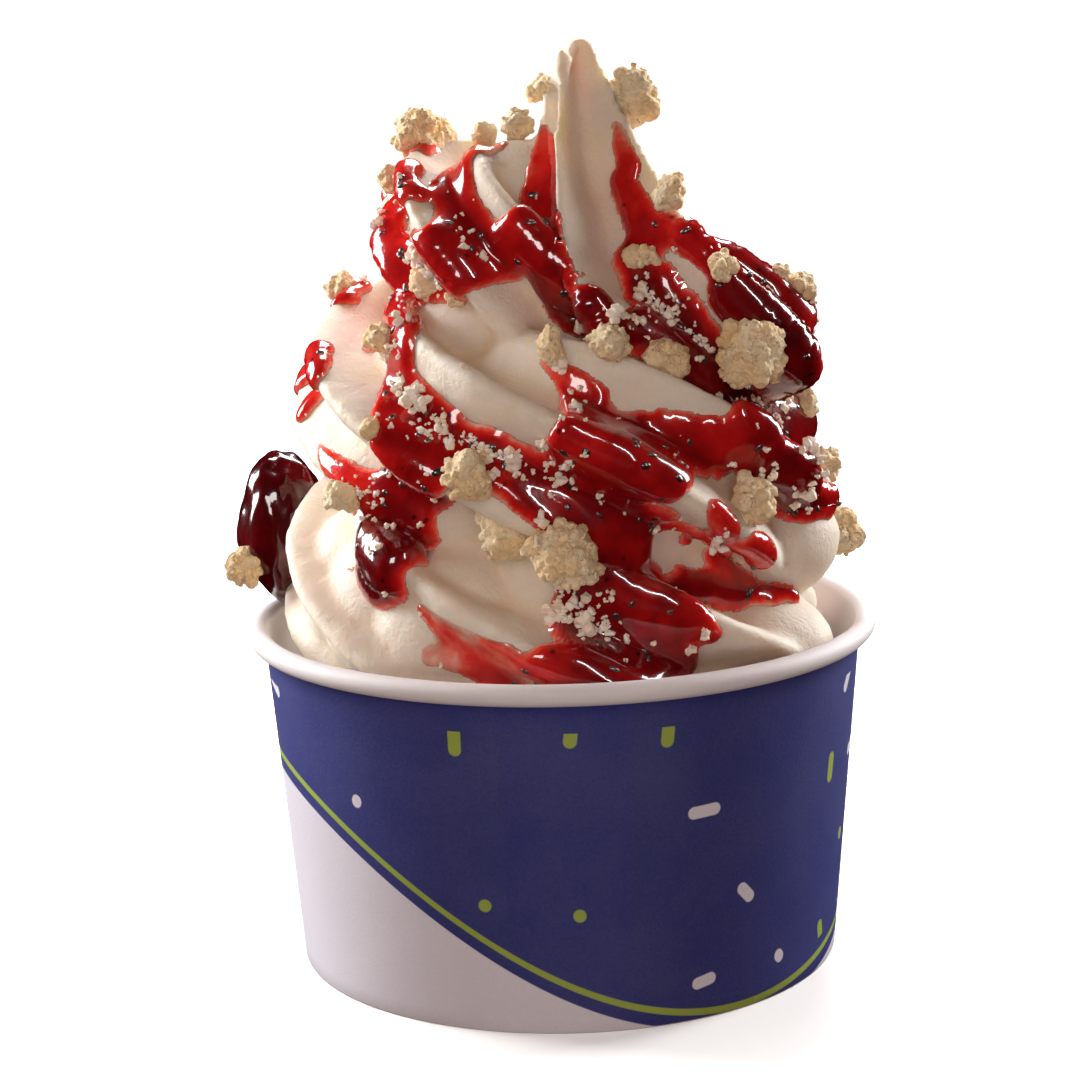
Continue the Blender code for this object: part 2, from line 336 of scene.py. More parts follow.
# %% Base disc and its skirt
skirt_low = PAPER + 0.3
base_profile = [(0, BASE_TOP)] + [(r, BASE_TOP) for r in (12, 24, 34)] + [
    (wall_radius(BASE_TOP, 1.4), BASE_TOP), (wall_radius(BASE_TOP, 1.0), BASE_TOP - 0.15),
    (wall_radius(BASE_TOP, 0.9), BASE_TOP - 0.5), (wall_radius(skirt_low, 0.9), skirt_low),
    (wall_radius(skirt_low, 1.5), skirt_low), (wall_radius(7.2, 1.5), 7.2), (wall_radius(7.7, 2.0), 7.7),
] + [(r, BASE_TOP - PAPER) for r in (34, 24, 12, 0)]
tub_base = spun("tub_base", base_profile, False)
print("tub triangles:", triangles(tub_wall) + triangles(tub_base))

# %% [markdown]
# The card is printed before it is rolled, so the print lives on the unrolled wall: one coordinate runs round
# the tub, the other is the height. The design is plain: a deep blue ground, a pale lilac hill that rises on the
# left, a lime line that follows it, and loose strokes like sprinkles.
# The strokes sit in a brick pattern of cells. Each cell draws one stroke in its middle, and a random colour
# turns, shifts and paints it. The bricks go round a whole number of times, so the print has no seam.

# %% Unrolled wall
NAVY, LILAC, LIME = (0.022, 0.028, 0.215), (0.84, 0.81, 0.90), (0.38, 0.50, 0.05)
CARD = (0.84, 0.80, 0.82)

printed_card, shader, place = new_finish("printed_card", Specular_IOR_Level=0.8)
x, y, z = (place.node("ShaderNodeSeparateXYZ", {"Vector": place}, output=axis) * 1000 for axis in "XYZ")
turn = place.math("ARCTAN2", x, -y)
hill = turn + 1.35
hill_top = place.math("COSINE", hill) * 13 + place.math("COSINE", hill * 2) * 8 + 9
above = z - hill_top
hill_mask = 1 - above.step(-0.12, 0.12)
line_mask = 1 - place.math("ABSOLUTE", above - 2.4).step(0.40, 0.62)

# %% Sprinkle strokes
CELLS, CELL_HIGH = 20, 12.4
CELL_WIDE = 2 * math.pi * 42 / CELLS
row = place.math("FLOOR", z / CELL_HIGH)
column_at = turn * (CELLS / (2 * math.pi)) + CELLS / 2 + place.math("MODULO", row, 2.0) * 0.5
column = place.math("FLOOR", column_at)
wrapped = place.math("MODULO", column + CELLS, float(CELLS))
cell = place.node("ShaderNodeCombineXYZ", {"X": wrapped, "Y": row, "Z": 3.0})
chance = place.node("ShaderNodeTexWhiteNoise", {"Vector": cell}, output="Color", noise_dimensions="3D")
red, green, blue = (place.node("ShaderNodeSeparateColor", {"Color": chance}, output=part)
                    for part in ("Red", "Green", "Blue"))
off_x = (column_at - column - 0.5) * CELL_WIDE + (blue - 0.5) * 3.0
off_y = (z / CELL_HIGH - row - 0.5) * CELL_HIGH + (green - 0.5) * 2.6
tilt = red * (2 * math.pi)
cosine, sine = place.math("COSINE", tilt), place.math("SINE", tilt)
lengthwise = place.math("ABSOLUTE", off_x * cosine + off_y * sine)
sideways = off_y * cosine - off_x * sine
past_end = place.math("MAXIMUM", lengthwise - blue * 2.2, 0.0)
far = place.math("SQRT", past_end * past_end + sideways * sideways)
stroke_mask = (1 - far.step(0.78, 1.0)) * above.step(4.6, 4.8) * z.step(3.5, 3.6) * (1 - z.step(43.4, 43.5))
stroke_mask = stroke_mask * green.step(0.30, 0.31)

# %% Finish of the printed card
paint = red.step(0.49, 0.51).blend(LIME, LILAC)
color = stroke_mask.blend(NAVY, paint)
color = line_mask.blend(color, LIME)
color = hill_mask.blend(color, LILAC)
radius = place.math("SQRT", x * x + y * y)
outside = (radius - (z * TAPER + (FOOT_RADIUS - 0.3))).step(0, 0.05)
outside = outside * (1 - z.step(HEIGHT - 3.35, HEIGHT - 3.2)) * z.step(0.1, 0.3)
fibre = place.texture(2600.0, 3.0, Roughness=0.6)
cloud = place.texture(90.0, 2.0)
card_color = (fibre * 0.5 + cloud * 0.5).step(0.2, 0.8).blend(tuple(c * 0.95 for c in CARD), CARD)
ink = (fibre * 0.6 + cloud * 0.4).step(0.3, 0.7)
ink_color = (ink * 0.10).blend(color, (0.30, 0.30, 0.42))
feed(shader, "Base Color", outside.blend(card_color, ink_color))
feed(shader, "Roughness", 0.58 - outside * 0.10 + fibre * 0.06)
bump(shader, fibre * 0.6 + cloud, 0.00005)
tub_wall.data.materials.append(printed_card)

# %% Bare card of the base
bare_card, shader, place = new_finish("bare_card")
fibre = place.texture(1800.0, 5.0, Roughness=0.65)
feed(shader, "Base Color", fibre.step(0.25, 0.75).blend(tuple(c * 0.9 for c in CARD), CARD))
feed(shader, "Roughness", 0.6 + fibre * 0.2)
bump(shader, fibre, 0.00008)
tub_base.data.materials.append(bare_card)

# %% [markdown]
# ## The rope of yogurt
# A star nozzle gives the rope hollow grooves between rounded ridges. The rope is laid in a coil that climbs and
# narrows, and at the end it is torn upwards, so the last stretch becomes a thin bent peak with two high fins.
# Each run of rope is a flat grid, rolled up: one side of the grid runs along the rope and the other round it.
# The tables below give the coil's height, its distance from the middle and its thickness at each turn, and a
# smooth curve is read through them. Modelling by hand would work too, but then the grooves would not follow
# the nozzle, which never turns while the rope winds.

# %% Tables of the coil and the peak
COIL = (-0.55, 2.95)
COIL_Z = [(-0.55, 24), (-0.25, 34), (0, 43), (0.25, 50), (0.5, 57), (0.75, 62), (1, 67), (1.25, 78),
    (1.5, 83.5), (1.75, 86), (2, 87.5), (2.25, 95), (2.5, 107.5), (2.75, 107), (2.95, 104)]
COIL_ORBIT = [(-0.55, 22), (0, 24.3), (0.5, 25.4), (1, 24.4), (1.25, 24), (1.5, 24), (1.75, 21), (2, 18.5),
    (2.25, 10.5), (2.5, 14.5), (2.75, 9), (2.95, 4)]
COIL_SIZE = [(-0.55, 16.2), (0.5, 16.4), (1, 16.4), (1.5, 16.2), (2, 16), (2.25, 13.5), (2.5, 12.5), (2.95, 10)]
COIL_TURN = [(-0.55, -90), (0.6, -80), (1, -72), (1.5, -72), (2, -75), (2.3, -60), (2.95, -60)]
LEAN = [(0, 0), (60, -0.3), (88, 1.8), (106, 1.2)]
COIL_RIDGES = [(60 * k, 14) for k in range(6)]
COIL_GROOVE, SAG = 0.42, 0.97
PEAK = [(84, 27, -12, 14), (89, 20.5, -16, 14.5), (94, 15.5, -17, 14), (98, 12, -16, 13), (103, 9, -13, 12),
    (112, 6.4, -7.5, 9.6), (123, 4.6, -3, 6.2), (129, 4.2, -1, 4.2), (131.8, 4.7, -0.3, 2.7),
    (133.5, 5.1, 0, 0.9)]
PEAK_RIDGES = [(-31, 12), (12, 18), (56, 19), (104, 19), (152, 18), (-165, 14), (-126, 9)]
PEAK_GROOVE = 0.78
FILL = [(BASE_TOP + 0.5, 38.4), (34, 40.3), (40, 38), (58, 30), (78, 25), (92, 19), (104, 9), (110, 4)]
BULGES = [((-4.2, -4, 110), (7.8, 6.6, 9.5)), ((2.5, -0.5, 114), (6, 5.5, 9)),
    ((2.0, -4.4, 129.6), (1.2, 1.3, 2.4)), ((2.9, -4.6, 130.2), (1, 0.95, 0.9)),
    ((28, -14, 46), (11, 10, 10)), ((31, -8, 62), (9, 10, 8.5)), ((-14.3, -20.5, 52.6), (13.4, 13.4, 13.4)),
    ((-20.5, -14.3, 54.3), (13.4, 13.4, 13.4)), ((-24.1, -6.5, 55.9), (13.4, 13.4, 13.4)),
    ((-9.7, -8.7, 93.5), (11, 11, 7.5))]


def along(keys, x):
    """A smooth curve through (x, value) keys that never swings past them, for a whole array of x."""
    keys = np.array(keys, float)
    spans = np.diff(keys[:, 0])
    slope = np.diff(keys[:, 1]) / spans
    a, b = slope[:-1], slope[1:]
    level = np.where(a * b > 0, 2 * a * b / np.where(a * b > 0, a + b, 1), 0)
    ends = np.concatenate([slope[:1], level, slope[-1:]])
    x = np.clip(x, keys[0, 0], keys[-1, 0])
    i = np.clip(np.searchsorted(keys[:, 0], x, side="right") - 1, 0, len(spans) - 1)
    t = (x - keys[i, 0]) / spans[i]
    rise = 3 * t**2 - 2 * t**3
    flat = keys[i, 1] * (1 - rise) + keys[i + 1, 1] * rise
    return flat + spans[i] * (ends[i] * (t**3 - 2 * t**2 + t) + ends[i + 1] * (t**3 - t**2))


def coil_centre(turns):
    height, orbit, angle = along(COIL_Z, turns), along(COIL_ORBIT, turns), -2 * np.pi * turns
    return np.stack([orbit * np.cos(angle) + along(LEAN, height), orbit * np.sin(angle), height], 1)


def peak_centre(height):
    x, y = (along([(k[0], k[column]) for k in PEAK], height) for column in (1, 2))
    return np.stack([x, y, height], 1)


print("coil climbs from", COIL_Z[0][1], "to", COIL_Z[-3][1], "mm, and the peak ends at", PEAK[-1][0], "mm")


# %% Roll a grid into a rope
def star(angles, ridges, groove):
    """The rope's radius as a share of its full radius: rounded ridges with wide hollow grooves between."""
    top = sum(np.exp(-((((angles - azimuth + 180) % 360 - 180) / width) ** 2)) for azimuth, width in ridges)
    return 1 - groove * (1 - np.minimum(top, 1))


def rope(bm, centre, size, heading, ridges, groove, start, end, steps, around, sag=1.0):
    """The nozzle never turns: the star is only tipped over with the rope."""
    verts = bmesh.ops.create_grid(bm, x_segments=steps, y_segments=around, size=1)["verts"]
    flat = np.array([vert.co for vert in verts])
    t = start + (end - start) * (flat[:, 0] + 1) / 2
    angle = np.pi * (flat[:, 1] + 1)
    step = 0.001 * (end - start)
    way = centre(np.minimum(t + step, end)) - centre(np.maximum(t - step, start))
    way /= np.linalg.norm(way, axis=1)[:, None]
    across, deep = np.cos(angle), np.sin(angle)
    drop = -(way[:, 0] * across + way[:, 1] * deep)
    tip = drop / (1 + way[:, 2])
    out = np.stack([across + way[:, 0] * tip, deep + way[:, 1] * tip, drop * sag], 1)
    reach = size(t) * star(np.degrees(angle) - heading(t), ridges, groove)
    for vert, point in zip(verts, (centre(t) + out * reach[:, None]) * MM):
        vert.co = point


bm = bmesh.new()
rope(bm, coil_centre, lambda t: along(COIL_SIZE, t), lambda t: along(COIL_TURN, t), COIL_RIDGES,
     COIL_GROOVE, *COIL, 420, 96, sag=SAG)
rope(bm, peak_centre, lambda z: along([(k[0], k[3]) for k in PEAK], z), lambda z: 0 * z, PEAK_RIDGES,
     PEAK_GROOVE, PEAK[0][0], PEAK[-1][0], 200, 96)
bmesh.ops.remove_doubles(bm, verts=bm.verts, dist=1e-7)
bmesh.ops.holes_fill(bm, edges=[edge for edge in bm.edges if edge.is_boundary])
heights = np.linspace(FILL[0][0], FILL[-1][0], 31)
profile = [(0, heights[0]), *zip(along(FILL, heights), heights), (0, heights[-1])]
spin_line(bm, profile, 60, merge=1e-7)
for middle, half in BULGES:
    place = Matrix.LocRotScale(Vector(middle) * MM, None, Vector(half) * MM)
    bmesh.ops.create_icosphere(bm, subdivisions=4, radius=1, matrix=place)
bmesh.ops.recalc_face_normals(bm, faces=bm.faces)
print("ropes and fill:", len(bm.faces), "faces")

# %% [markdown]
# Coils of soft yogurt melt into each other where they touch. A voxel remesh does exactly that: it fills the
# overlapping ropes with small cubes and draws one new skin round them. A few rounds of smoothing take the
# cubes' traces away. What is down in the tub can't be seen, so there the fine skin is cut off and a plain
# stretch takes its place, which saves faces for the swirl.

# %% One skin for the swirl
VOXEL = 0.7
CUT_HEIGHT = 38.0

swirl = new_object("swirl_of_yogurt", bm)
skin = swirl.modifiers.new("skin", "REMESH")
skin.mode, skin.voxel_size = "VOXEL", VOXEL * MM
soft = swirl.modifiers.new("soft", "SMOOTH")
soft.factor, soft.iterations = 0.5, 4
settle(swirl)


def keep_largest(bm):
    """Removes every island but the largest: the closed pockets that stay between coils."""
    seen, islands = set(), []
    for start_vert in bm.verts:
        if start_vert in seen:
            continue
        seen.add(start_vert)
        island, todo = [], [start_vert]
        while todo:
            vert = todo.pop()
            island.append(vert)
            fresh = {edge.other_vert(vert) for edge in vert.link_edges} - seen
            seen |= fresh
            todo += fresh
        islands.append(island)
    islands.sort(key=len)
    bmesh.ops.delete(bm, geom=[vert for island in islands[:-1] for vert in island], context="VERTS")


def write_back(bm, made):
    bm.to_mesh(made.data)
    bm.free()
    made.data.polygons.foreach_set("use_smooth", [True] * len(made.data.polygons))


bm = bmesh.new()
bm.from_mesh(swirl.data)
keep_largest(bm)
bmesh.ops.bisect_plane(bm, geom=bm.verts[:] + bm.edges[:] + bm.faces[:], plane_co=(0, 0, CUT_HEIGHT * MM),
                       plane_no=(0, 0, 1), clear_inner=True)
keep_largest(bm)
rim = [edge for edge in bm.edges if edge.is_boundary]
lowered = bmesh.ops.extrude_edge_only(bm, edges=rim)["geom"]
for vert in {part for part in lowered if isinstance(part, bmesh.types.BMVert)}:
    flat_radius = math.hypot(vert.co.x, vert.co.y)
    shrink = min(1, FILL[0][1] * MM / flat_radius)
    vert.co = Vector((vert.co.x * shrink, vert.co.y * shrink, FILL[0][0] * MM))
bmesh.ops.holes_fill(bm, edges=[edge for edge in bm.edges if edge.is_boundary])
bmesh.ops.recalc_face_normals(bm, faces=bm.faces)

# %% Small unevenness of a soft rope
bm.normal_update()
for vert in bm.verts:
    place = vert.co / MM
    if place.z > CUT_HEIGHT + 1:
        push = 0.34 * noise.noise(place * 0.11) + 0.13 * noise.noise(place * 0.33 + Vector((7, 0, 0)))
        vert.co += vert.normal * push * MM
write_back(bm, swirl)
print("swirl:", triangles(swirl), "triangles")

# %% [markdown]
# One measure of the skin is kept. A strongly smoothed copy shows how deep each point lies in a hollow:
# where the copy stands outside the skin, the skin is a groove. The shader paints the grooves darker and warmer:
# a painted shade, and a painted glow for light that travels through yogurt and turns yellow. The sauce fills
# them too.

# %% Measure the grooves
def smoothed_copy(source, factor, iterations):
    made = bpy.data.objects.new("smoothed", source.data.copy())
    bpy.context.scene.collection.objects.link(made)
    soft = made.modifiers.new("soft", "SMOOTH")
    soft.factor, soft.iterations = factor, iterations
    settle(made)
    points = positions(made.data)
    bpy.data.objects.remove(made, do_unlink=True)
    return points


def normals(mesh):
    flat = np.empty(len(mesh.vertices) * 3)
    mesh.vertices.foreach_get("normal", flat)
    return flat.reshape(-1, 3)


def keep_value(mesh, name, values):
    mesh.attributes.new(name, "FLOAT", "POINT").data.foreach_set("value", np.asarray(values, np.float32))


skin_points, skin_normals = positions(swirl.data), normals(swirl.data)
filled_points = smoothed_copy(swirl, 0.8, 60)
hollow = ((filled_points - skin_points) * skin_normals).sum(1)
keep_value(swirl.data, "hollow", np.clip(hollow, -3, 3))
tree = BVHTree.FromObject(swirl, bpy.context.evaluated_depsgraph_get())
print(f"grooves: {np.percentile(hollow, 2):.1f} to {np.percentile(hollow, 98):.1f} mm")


# %% Finish of the yogurt
yogurt, shader, place = new_finish("frozen_yogurt", Roughness=0.5, Subsurface_Weight=0.35,
                                   Subsurface_Scale=0.0035)
shader.inputs["Subsurface Radius"].default_value = (1.0, 0.62, 0.32)
shader.inputs["Specular IOR Level"].default_value = 0.42
groove_shade_depth = place.node("ShaderNodeAttribute", output="Fac", attribute_name="hollow")
cloud = place.texture(110.0, 3.0)
frost = place.texture(1500.0, 4.0, Roughness=0.62)
streaks = place.texture(420.0, 2.0, Distortion=0.6)
base = (cloud * 0.7 + frost * 0.3).step(0.3, 0.72).blend((0.84, 0.74, 0.61), (0.89, 0.81, 0.70))
# Painted shade: deep grooves are darkened and warmed towards brown-yellow, standing in for shade and for light
# that has passed through the yogurt.
base = (groove_shade_depth.step(0.0, 1.8) * 0.95).blend(base, (0.84, 0.60, 0.27))
feed(shader, "Base Color", base)
feed(shader, "Roughness", 0.46 + frost * 0.16)
bump(shader, frost * 0.7 + streaks * 0.7, 0.00024)
swirl.data.materials.append(yogurt)

# %% [markdown]
# ## Berry sauce
# The sauce was spooned on in runs that slide off the coils, gather in the grooves and pool behind the rim.
# A run is a short list of places on the swirl, each with its half width and its thickness there. The places
# are an azimuth in degrees, with the front at -90, and a height, and a level ray finds the skin there.
# Every point of the skin is then given its distance to the edge of the nearest run, and where it is inside
# one, a copy of the skin is lifted off the yogurt. Simulated liquid would find its own way, but it takes long
# and can't be told where to run.

# %% Runs in front: (azimuth, height, half width, thickness)
RUNS = {
    "left_fin": [(-97, 120.5, 1.1, 0.3), (-96, 117, 2.0, 0.7), (-95, 113.5, 2.6, 1.1), (-96, 110, 3.4, 1.3),
        (-97, 107, 4.0, 1.5), (-93, 103.5, 3.8, 1.8), (-85, 99.2, 4.2, 2.0), (-80, 97.2, 3.9, 2.1),
        (-76, 95.6, 3.4, 2.1), (-65, 93.6, 3.4, 2.1), (-54, 91.6, 3.5, 2.2), (-43, 88, 3.6, 2.3),
        (-34, 85, 4.0, 2.4), (-20, 80.5, 4.2, 2.4)],
    "right_fin": [(-39.5, 121, 1.0, 0.3), (-42, 118, 1.5, 0.6), (-44, 115.5, 1.9, 0.9),
        (-47, 113, 2.2, 1.1), (-49.5, 110, 2.6, 1.3), (-52, 106, 3.1, 1.4), (-55, 102, 3.6, 1.5),
        (-55, 98, 4.0, 1.8)],
    "dark_top": [(-46, 104, 2.6, 1.8), (-45, 99, 3.6, 2.2), (-41, 95, 4.2, 2.6), (-36, 90, 4.4, 2.8),
        (-30, 86, 4.2, 2.6)],
    "lobe_rim": [(-143, 118.5, 1.5, 0.4), (-155, 117.5, 2.2, 0.7), (-163, 116, 2.6, 0.9),
        (-165, 113.5, 3.0, 1.1), (176, 111, 2.8, 1.1), (-172, 108, 2.4, 1.1), (-167, 104.5, 2.8, 1.2),
        (-160, 101.8, 3.2, 1.4), (-150, 99.8, 3.2, 1.5), (-140, 99.4, 2.6, 1.4), (-124, 101.6, 2.5, 1.4),
        (-115, 103, 2.4, 1.4), (-106, 104.2, 2.6, 1.4), (-97, 105, 2.8, 1.5)],
    "lobe_crown": [(-172, 112, 2.4, 1.0), (-163, 114.5, 2.7, 1.0), (-156, 113.6, 2.8, 1.0),
        (-149, 112.8, 2.4, 1.1)],
    "lobe_under": [(-160, 105.5, 2.4, 1.1), (-152, 104.5, 2.8, 1.3), (-142, 105, 2.6, 1.4)],
    "pool_right": [(-68, 58, 3.0, 1.8), (-62, 56, 2.6, 1.6), (-58, 54, 1.8, 1.3)],
    "lobe_top": [(-160, 116.5, 2.2, 0.7), (-154, 114, 3.0, 1.0), (-146, 112.3, 3.0, 1.2),
        (-137, 110.5, 2.8, 1.3)],
    "lobe_low": [(-153, 105.2, 2.6, 1.2), (-148, 103, 3.0, 1.4), (-138, 105.5, 3.0, 1.5)],
    "lobe_edge": [(-166, 101.5, 2.4, 1.1), (-160, 98.8, 2.4, 1.2), (-152, 97, 2.4, 1.2)],
    "lobe_inside": [(-150, 117, 1.8, 0.9), (-143, 113.5, 2.8, 1.2), (-136, 109.5, 3.4, 1.4),
        (-127, 106, 4.2, 1.6), (-131, 102, 4.2, 1.5)],
    "lobe_front": [(-124, 106, 3.0, 1.6), (-114, 105.6, 3.0, 1.7), (-104, 105.8, 3.3, 1.6)],
    "below_lobe": [(167, 97, 2.6, 1.1), (-150, 96.5, 2.4, 1.1)],
    "band": [(-147, 97.5, 2.2, 1.1), (-136, 95.8, 2.8, 1.2), (-131, 93, 3.0, 1.3), (-134, 90, 3.4, 1.4),
        (-130, 86.5, 3.9, 1.5), (-121, 83, 4.4, 1.5), (-114, 80, 4.6, 1.5), (-105, 78.5, 4.5, 1.6),
        (-98, 76, 4.7, 1.7), (-90, 72.5, 5.0, 1.8), (-83, 67.5, 5.2, 1.8)],
    "band_low": [(-135, 87, 2.6, 1.2), (-125, 81.5, 3.6, 1.5), (-118, 78, 4.3, 1.7),
        (-127, 73.5, 4.0, 1.6)],
    "drip": [(-133, 73, 4.2, 1.7), (-134, 70, 4.8, 2.0), (-134, 67, 5.4, 2.3), (-133, 64.5, 5.9, 2.7),
        (-132, 63, 5.7, 2.7)],
    "triangle": [(-161, 77.5, 0.9, 0.5), (-153, 75, 2.0, 0.9), (-144, 73, 2.9, 1.1),
        (-139, 71.5, 3.0, 1.4)],
    "dab": [(-169, 94, 1.4, 0.7), (-162, 92, 2.1, 0.9), (-156, 90, 2.3, 1.1), (-153, 88.3, 2.2, 1.2)],
    "dab_low": [(-178, 84, 1.8, 1.0), (-176, 82.5, 2.0, 1.1), (-174, 81, 1.6, 1.1)],
    "sheet": [(-92, 91, 1.2, 0.4), (-85, 87.5, 2.5, 0.8), (-82, 84, 4.2, 1.2), (-84, 80.5, 5.6, 1.5),
        (-80, 74, 6.6, 1.9), (-78, 69, 7.0, 2.0), (-81, 62.5, 6.2, 1.9), (-81, 56.5, 7.0, 2.1),
        (-81, 52.5, 7.2, 2.2)],
    "sheet_right": [(-72, 80.5, 4.7, 1.6), (-61, 80.5, 3.6, 1.5), (-53, 80, 3.1, 1.4), (-46, 78, 3.0, 1.4)],
    "sheet_low": [(-75, 77, 5.0, 1.8), (-62, 77.5, 3.4, 1.5), (-50, 77, 2.8, 1.4)],
    "sheet_middle": [(-74, 72, 3.6, 1.6), (-66, 71, 2.6, 1.4)],
    "strand": [(-58, 71, 2.0, 0.9), (-54, 67, 2.3, 1.1), (-43, 63, 2.3, 1.2), (-38, 58.5, 2.1, 1.3),
        (-34, 57, 1.6, 1.0)],
    "finger": [(-72, 61, 3.2, 1.6), (-57, 59, 2.8, 1.7), (-43, 57, 2.5, 1.8), (-30, 55.2, 1.9, 1.7),
        (-26, 55, 1.4, 1.4)],
    "pool": [(-70, 54, 5.0, 2.0), (-66, 50.5, 4.6, 2.0), (-81, 50, 5.2, 2.0), (-94, 51, 3.2, 1.4),
        (-104, 50, 2.6, 0.7), (-111, 51, 2.2, 0.45), (-118, 52, 1.4, 0.3)],
    "film": [(-120, 58, 1.2, 0.2), (-114, 56, 2.2, 0.25), (-108, 54, 2.8, 0.3), (-101, 52.5, 3.2, 0.5)],
    "dark_ridge": [(-52.5, 98.5, 3.7, 2.4), (-47, 93.5, 4.4, 2.8), (-41, 88, 4.7, 2.9), (-34, 85, 4.7, 2.9),
        (-20, 80.5, 4.6, 2.6), (-4, 77, 4.2, 2.2)],
    "ridge_end": [(-46, 82.5, 2.9, 1.8), (-41, 77, 3.8, 2.2), (-33, 73.5, 4.2, 2.4), (-25, 69.5, 3.8, 2.2),
        (-18, 68, 3.0, 1.8)],
    "behind_peak": [(-50, 107, 2.6, 1.4), (-27, 101, 3.8, 1.8), (-25, 97, 4.2, 1.8), (-20, 92, 4.4, 1.8),
        (-8, 86, 4.4, 1.8)],
}
print(len(RUNS), "runs in front")

# %% Runs of the sides and the back
RUNS.update({
    "back_peak": [(70, 124, 1.2, 0.5), (66, 118, 1.9, 0.9), (62, 112, 2.6, 1.2), (54, 106, 3.4, 1.4),
        (44, 101, 4.2, 1.7), (22, 98, 4.6, 1.8), (0, 97, 4.4, 1.8)],
    "back_lobe": [(172, 116, 3.2, 1.2), (160, 113, 3.8, 1.4), (146, 108, 4.4, 1.6), (136, 101, 4.4, 1.7),
        (128, 94, 4.0, 1.7)],
    "back_band": [(150, 99, 3.6, 1.3), (128, 95, 4.4, 1.6), (104, 91, 4.8, 1.7), (80, 87, 5.0, 1.7),
        (58, 84, 5.2, 1.8), (36, 81, 5.2, 2.0), (14, 79, 4.8, 2.2), (-6, 78, 4.4, 2.2)],
    "back_sheet": [(96, 88, 4.2, 1.4), (90, 80, 5.6, 1.7), (86, 72, 6.0, 1.9), (82, 64, 5.6, 1.9),
        (80, 56, 5.6, 2.0)],
    "back_drip": [(122, 84, 3.0, 1.3), (120, 77, 2.7, 1.3), (119, 70, 3.0, 1.8), (118, 64, 3.9, 2.8)],
    "right_drip": [(20, 74, 3.4, 1.6), (18, 67, 3.2, 1.6), (16, 60, 3.6, 2.0), (14, 55, 4.4, 2.8)],
    "right_low": [(44, 76, 3.6, 1.5), (42, 68, 3.8, 1.6), (46, 60, 3.4, 1.7)],
    "left_side": [(176, 90, 2.2, 0.9), (168, 84, 3.0, 1.2), (160, 77, 3.6, 1.4), (150, 70, 3.8, 1.6),
        (144, 62, 3.6, 1.9)],
    "back_pool": [(110, 53, 3.2, 1.5), (92, 52, 4.6, 1.9), (72, 51, 4.6, 1.9), (54, 52, 3.2, 1.5)],
})
# Places where the yogurt shows through the sheet: (azimuth, height, radius). Strands cross them afterwards.
BARE = [(-146, 110.2, 1.9), (-160, 108.6, 2.2), (-72, 86.5, 2.6), (-68, 86, 2.0), (-61, 74.3, 1.4),
    (-53, 73.3, 1.6), (-62, 65.5, 3.1), (-55, 64.5, 2.8), (-60, 62.5, 1.8), (88, 77, 2.6), (80, 68, 2.8),
    (40, 81.5, 2.0)]
STRANDS = {
    "curl": [(-68, 67.5, 0.9, 0.9), (-62, 68.5, 1.0, 1.0), (-56, 67.5, 1.1, 1.1), (-55, 65.5, 1.0, 1.1)],
    "back_curl": [(86, 70.5, 0.9, 0.9), (80, 70, 1.1, 1.0), (76, 67, 1.0, 1.0)],
}


def on_skin(azimuth, height):
    """The point of the swirl's skin at this azimuth and height, and the way it faces."""
    out = Vector((math.cos(math.radians(azimuth)), math.sin(math.radians(azimuth)), 0))
    return tree.ray_cast(out * 0.1 + Vector((0, 0, height * MM)), -out)[:2]


def run_samples(run):
    """Points along a run, each with its half width and thickness."""
    turned = [run[0][0]]
    for key in run[1:]:
        turned.append(turned[-1] + (key[0] - turned[-1] + 180) % 360 - 180)
    steps = np.linspace(0, len(run) - 1, 14 * (len(run) - 1) + 1)
    columns = [along(list(enumerate(values)), steps) for values in (turned, *zip(*[key[1:] for key in run]))]
    found = []
    for azimuth, height, half, thick in zip(*columns):
        point, _ = on_skin(azimuth, height)
        if point is not None:
            found.append((*(point / MM), half, thick))
    return np.array(found)


print("sauce:", sum(len(run_samples(run)) for run in RUNS.values()), "samples in", len(RUNS), "runs")

# %% How far each point of the skin is inside the sauce
SHARP = 1.3


def noise_at(points, scale, seed):
    shift = Vector((seed, 2 * seed, 0))
    return np.array([noise.noise(Vector(point) / scale + shift) for point in points])


def inside_runs(runs):
    """For each point of the skin, millimetres inside the sauce's edge and the sauce's thickness."""
    total, thick = np.full(len(skin_points), 1e-6), np.zeros(len(skin_points))
    for run in runs.values():
        rows = run_samples(run)
        low, high = rows[:, :3].min(0) - 10, rows[:, :3].max(0) + 10
        near = np.flatnonzero(((skin_points > low) & (skin_points < high)).all(1))
        inside = rows[None, :, 3] - np.linalg.norm(skin_points[near, None, :] - rows[None, :, :3], axis=2)
        best = inside.argmax(1)
        weight = np.exp(SHARP * inside.max(1))
        total[near] += weight
        thick[near] += weight * rows[best, 4]
    return np.log(total) / SHARP, thick / total


wobble = 0.55 * noise_at(skin_points, 4.2, 4) + 0.22 * noise_at(skin_points, 1.7, 9)
inside, thickness = inside_runs(RUNS)
inside += wobble
for azimuth, height, radius in BARE:
    gap = np.linalg.norm(skin_points - np.array(on_skin(azimuth, height)[0] / MM), axis=1)
    inside = np.minimum(inside, gap - radius + 0.5 * wobble)
strand_inside, strand_thickness = inside_runs(STRANDS)
thickness = np.where(strand_inside > inside, strand_thickness, thickness)
inside = np.maximum(inside, strand_inside)
print(f"covered share of the skin: {(inside > 0).mean():.2f}")

# %% [markdown]
# A liquid's edge is a rounded bead that meets the ground steeply. So the lift follows a quarter circle: it
# rises fast from the edge and is level further in. Outside the edge the sheet dives into the yogurt, which
# hides its end. The sheet's underside is the skin itself, a little deeper, so the sauce is one closed body.

